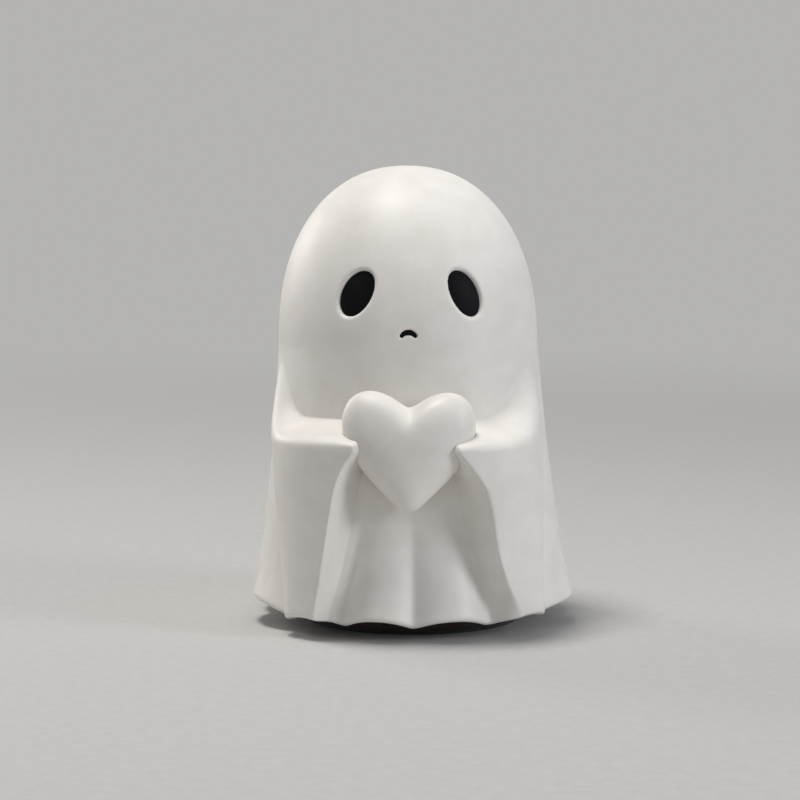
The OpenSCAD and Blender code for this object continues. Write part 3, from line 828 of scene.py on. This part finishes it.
def white_glaze():
    material, tree, bsdf = nodes_of("white_satin_glaze")
    at = coordinates(tree)
    cloud = noise(tree, at, scale=22.0, detail=3.0, rough=0.5)
    mottle = noise(tree, at, scale=160.0, detail=4.0, rough=0.55)
    grain = noise(tree, at, scale=1400.0, detail=2.0, rough=0.6)
    thin, middle, thick = (0.80, 0.775, 0.735), (0.835, 0.812, 0.775), (0.86, 0.84, 0.81)
    base = ramp(tree, cloud, [(0.3, thin), (0.5, middle), (0.7, thick)])
    tint = ramp(tree, mottle, [(0.35, (0.955, 0.945, 0.93)), (0.65, (1.0, 1.0, 1.0))])
    link(tree, multiplied(tree, 1.0, base, tint), bsdf.inputs["Base Color"])
    link(tree, ranged(tree, mottle, low=0.40, high=0.54), bsdf.inputs["Roughness"])
    set_inputs(bsdf, {"Specular IOR Level": 0.42, "IOR": 1.5})
    bump(tree, [(cloud, 0.35), (mottle, 0.14), (grain, 0.05)], bsdf, distance=0.0004)
    return material


def dark_glaze():
    material, tree, bsdf = nodes_of("dark_satin_glaze")
    at = coordinates(tree)
    cloud = noise(tree, at, scale=120.0, detail=3.0, rough=0.5)
    grain = noise(tree, at, scale=1500.0, detail=2.0, rough=0.5)
    base = ramp(tree, cloud, [(0.3, (0.0035, 0.0035, 0.004)), (0.7, (0.006, 0.0062, 0.008))])
    link(tree, base, bsdf.inputs["Base Color"])
    link(tree, ranged(tree, cloud, low=0.48, high=0.60), bsdf.inputs["Roughness"])
    set_inputs(bsdf, {"Specular IOR Level": 0.08})
    bump(tree, [(cloud, 0.2), (grain, 0.06)], bsdf, distance=0.0002)
    return material


def shade_clay():
    material, tree, bsdf = nodes_of("painted_shade_clay")
    at = coordinates(tree)
    cloud = noise(tree, at, scale=60.0, detail=4.0, rough=0.6)
    grain = noise(tree, at, scale=900.0, detail=6.0, rough=0.7)
    speck = noise(tree, at, scale=520.0, detail=1.0, rough=0.4)
    # Painted shade: the clay's colour is kept dark brown to near black so that the plate under the hem shows
    # as the shadow there; the specks are the clay's own.
    base = ramp(tree, cloud, [(0.3, (0.045, 0.036, 0.030)), (0.7, (0.075, 0.060, 0.050))])
    dots = ramp(tree, speck, [(0.66, (1, 1, 1)), (0.72, (0.5, 0.45, 0.42))])
    link(tree, multiplied(tree, 0.8, base, dots), bsdf.inputs["Base Color"])
    link(tree, ranged(tree, grain, low=0.78, high=0.95), bsdf.inputs["Roughness"])
    bump(tree, [(grain, 0.6), (cloud, 0.3)], bsdf, distance=0.0004)
    return material


def felt():
    material, tree, bsdf = nodes_of("grey_felt")
    at = coordinates(tree)
    fibre = noise(tree, at, scale=1100.0, detail=8.0, rough=0.75, distortion=1.5)
    cloud = noise(tree, at, scale=80.0, detail=3.0, rough=0.5)
    base = ramp(tree, fibre, [(0.3, (0.010, 0.010, 0.012)), (0.7, (0.040, 0.040, 0.045))])
    tone = ramp(tree, cloud, [(0.3, (0.8, 0.8, 0.8)), (0.7, (1, 1, 1))])
    link(tree, multiplied(tree, 1.0, base, tone), bsdf.inputs["Base Color"])
    set_inputs(bsdf, {"Roughness": 0.95, "Sheen Weight": 0.35, "Sheen Roughness": 0.5})
    bump(tree, [(fibre, 0.9)], bsdf, distance=0.0005)
    return material


# Build

WHITE, DARK, SHADE_CLAY, FELT = white_glaze(), dark_glaze(), shade_clay(), felt()

rings, first, last = body_rings()
tipped("draped_shell", rings, first, last, "body_shell", WHITE)

rings, first, last = heart_rings(SLIP)
cutter = tipped("heart_cutter", rings, first, last, None, WHITE)
sleeve("sleeve_left", -1.0, "left_sleeve", WHITE, cutter)
sleeve("sleeve_right", 1.0, "right_sleeve", WHITE, cutter)
bpy.data.objects.remove(cutter)

rings, first, last = heart_rings(0.0)
tipped("puffed_heart", rings, first, last, "heart", WHITE)

for eye_name, s, node in (("eye_inlay_left", -1, "left_eye"), ("eye_inlay_right", 1, "right_eye")):
    rings, first, last = eye_rings(s)
    tipped(eye_name, rings, first, last, node, DARK)
rings = mouth_loops()
tipped("mouth_inlay", rings, rings[0].mean(0), rings[-1].mean(0), "mouth", DARK, MOUTH_SHARP_A)

# The base plate's clay carries painted shade: its near-black colour stands for the shadow under the hem.
for node, material in (("base_plate", SHADE_CLAY), ("felt_pad", FELT)):
    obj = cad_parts[node]
    obj.data.materials.clear()
    obj.data.materials.append(material)


# Stage, in metres

BACKDROP = (0.46, 0.455, 0.445, 1.0)
FLOOR_SIZE = 6.0
# Distances from the object between which the floor turns into the backdrop
FLOOR_NEAR, FLOOR_FAR = 0.16, 0.9
SKY_COLOUR, SKY_STRENGTH = (0.80, 0.82, 0.86, 1.0), 0.34
LIT_PLACE = (0.0, 0.0, 0.06)
# The photograph's viewing angle. The sensor and the lens are in millimetres.
VIEW_DISTANCE, VIEW_EL, LOOK_X, LOOK_Z = 0.7, 5.6, -0.00334, 0.057
SENSOR_W, LENS, CLIP_START = 36.0, 120.6, 0.01


def math_node(tree, operation, a, b):
    m = tree.nodes.new("ShaderNodeMath")
    m.operation = operation
    link(tree, a, m.inputs[0])
    link(tree, b, m.inputs[1])
    return m.outputs[0]


def looked_at(tree):
    """1 for rays that show the backdrop, straight, mirrored or through glass, and 0 for those that light."""
    path = tree.nodes.new("ShaderNodeLightPath")
    seen = math_node(tree, "MAXIMUM", path.outputs["Is Camera Ray"], path.outputs["Is Glossy Ray"])
    return math_node(tree, "MAXIMUM", seen, path.outputs["Is Transmission Ray"])


def shader_mix(tree, share, a, b, out):
    m = tree.nodes.new("ShaderNodeMixShader")
    for inlet, source in zip(m.inputs, (share, a, b)):
        link(tree, source, inlet)
    link(tree, m.outputs[0], out.inputs["Surface"])


def floor_material():
    """A pale floor that takes the object's shadow, and turns into the backdrop further off."""
    material, tree, bsdf = nodes_of("pale_floor")
    at = coordinates(tree)
    grain = noise(tree, at, scale=300.0, detail=5.0, rough=0.6)
    base = ramp(tree, grain, [(0.3, (0.49, 0.485, 0.475)), (0.7, (0.53, 0.525, 0.515))])
    link(tree, base, bsdf.inputs["Base Color"])
    set_inputs(bsdf, {"Roughness": 0.8, "Specular IOR Level": 0.2})
    distance = tree.nodes.new("ShaderNodeVectorMath")
    distance.operation = "LENGTH"
    link(tree, at, distance.inputs[0])
    far = tree.nodes.new("ShaderNodeMapRange")
    far.interpolation_type = "SMOOTHSTEP"
    set_inputs(far, {"From Min": FLOOR_NEAR, "From Max": FLOOR_FAR})
    link(tree, distance.outputs["Value"], far.inputs["Value"])
    glow = tree.nodes.new("ShaderNodeEmission")
    glow.inputs["Color"].default_value = BACKDROP
    share = math_node(tree, "MULTIPLY", far.outputs["Result"], looked_at(tree))
    shader_mix(tree, share, bsdf.outputs[0], glow.outputs[0], tree.nodes["Material Output"])
    return material


def add_world():
    world = bpy.data.worlds.new("studio")
    bpy.context.scene.world = world
    world.use_nodes = True
    tree = world.node_tree
    sky = tree.nodes["Background"]
    set_inputs(sky, {"Color": SKY_COLOUR, "Strength": SKY_STRENGTH})
    backdrop = tree.nodes.new("ShaderNodeBackground")
    backdrop.inputs["Color"].default_value = BACKDROP
    shader_mix(tree, looked_at(tree), sky.outputs[0], backdrop.outputs[0], tree.nodes["World Output"])


def add_aimed(name, data, place, target):
    """A light or camera at a place, turned to a target."""
    obj = bpy.data.objects.new(name, data)
    obj.location = place
    obj.rotation_euler = (Vector(target) - Vector(place)).to_track_quat("-Z", "Y").to_euler()
    bpy.context.scene.collection.objects.link(obj)
    return obj


def softbox(name, place, size, power, colour):
    light = bpy.data.lights.new(name, "AREA")
    light.shape = "DISK"
    light.size = size
    light.energy = power
    light.color = colour
    add_aimed(name, light, place, LIT_PLACE)


def photo_camera():
    data = bpy.data.cameras.new("camera")
    data.sensor_width = SENSOR_W
    data.lens = LENS
    data.clip_start = CLIP_START
    back = VIEW_DISTANCE * math.cos(math.radians(VIEW_EL))
    up = VIEW_DISTANCE * math.sin(math.radians(VIEW_EL))
    return add_aimed("camera", data, (LOOK_X, -back, LOOK_Z + up), (LOOK_X, 0.0, LOOK_Z))


bpy.ops.mesh.primitive_plane_add(size=FLOOR_SIZE, location=(0, 0, 0))
floor = bpy.context.object
floor.name = "floor"
floor.data.materials.append(floor_material())

add_world()
softbox("key", (-0.18, -0.05, 0.95), size=0.30, power=5.9, colour=(1.0, 0.97, 0.93))
softbox("side", (0.85, -0.45, 0.35), size=0.35, power=3.6, colour=(0.93, 0.96, 1.0))
softbox("back", (-0.75, 0.65, 0.40), size=0.4, power=2.6, colour=(1.0, 0.95, 0.90))

bpy.context.scene.camera = photo_camera()
bpy.context.scene.view_settings.view_transform = "Standard"

bpy.context.view_layer.update()
